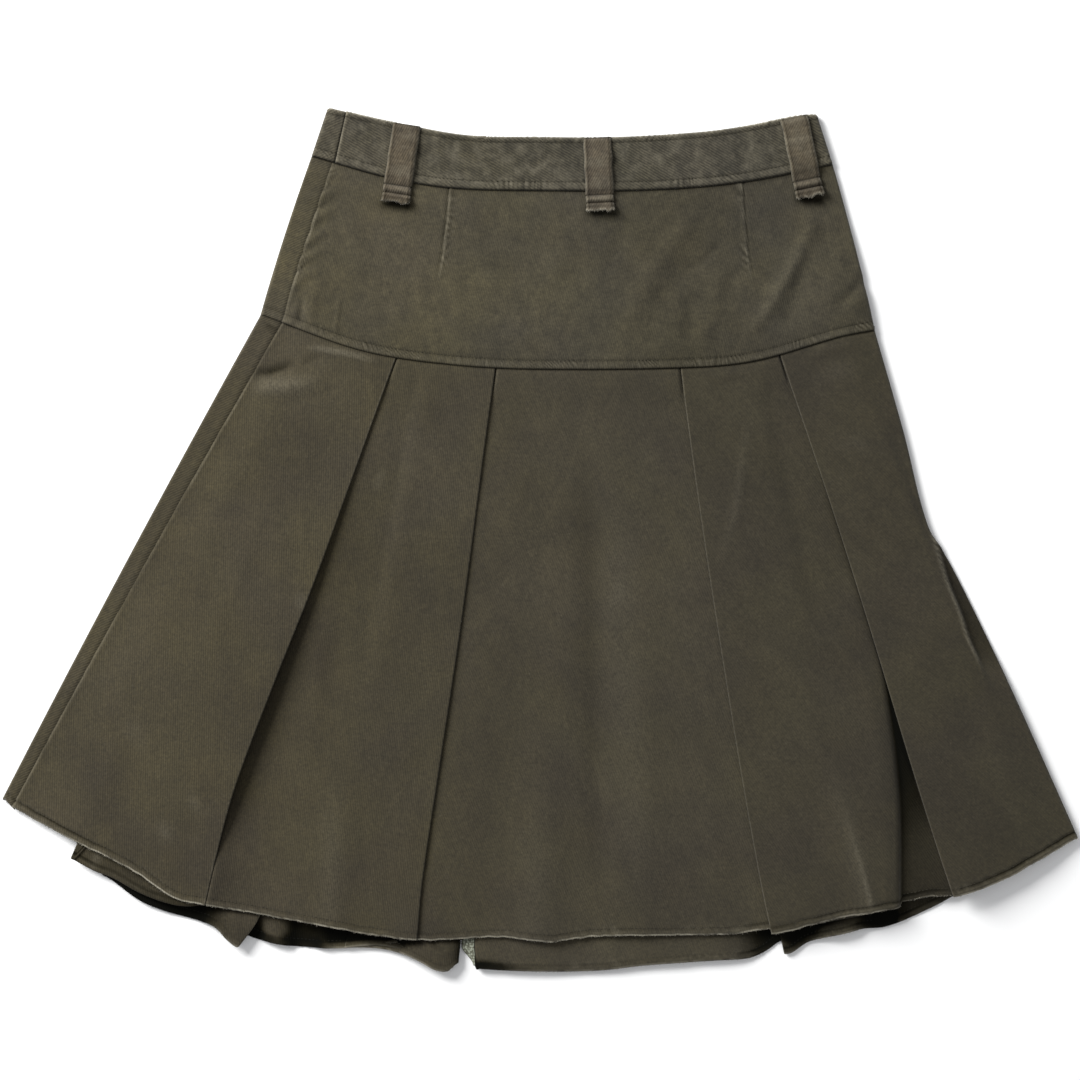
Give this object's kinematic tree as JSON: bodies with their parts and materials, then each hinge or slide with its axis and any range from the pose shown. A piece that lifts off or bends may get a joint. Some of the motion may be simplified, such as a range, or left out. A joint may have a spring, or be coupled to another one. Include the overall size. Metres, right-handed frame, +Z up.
{
  "type": "pleated chino skirt",
  "caption": "Knee-length flared skirt in cotton twill, laid flat: straight waistband with belt loops, shaped hip yoke and a knife-pleated skirt with a raw hem.",
  "frame": {"origin": "middle of the outline of the laid-out skirt, on the surface it lies on", "axes": "+Z up from that surface, +Y towards the waistband, +X towards the right-hand side of the front as it is seen from above"},
  "size_m": [0.8188, 0.6574, 0.0084],
  "materials": {
    "twill": "matt, garment-dyed and washed olive-brown cotton twill",
    "loop_twill": "matt, the same twill worn browner and paler at its edges"
  },
  "bodies": {
    "root": {"front_waistband": "twill", "back_waistband": "twill", "front_yoke": "twill", "back_yoke": "twill", "front_skirt": "twill", "back_skirt": "twill", "belt_loop_left": "loop_twill", "belt_loop_centre": "loop_twill", "belt_loop_right": "loop_twill"}
  },
  "joints": []
}
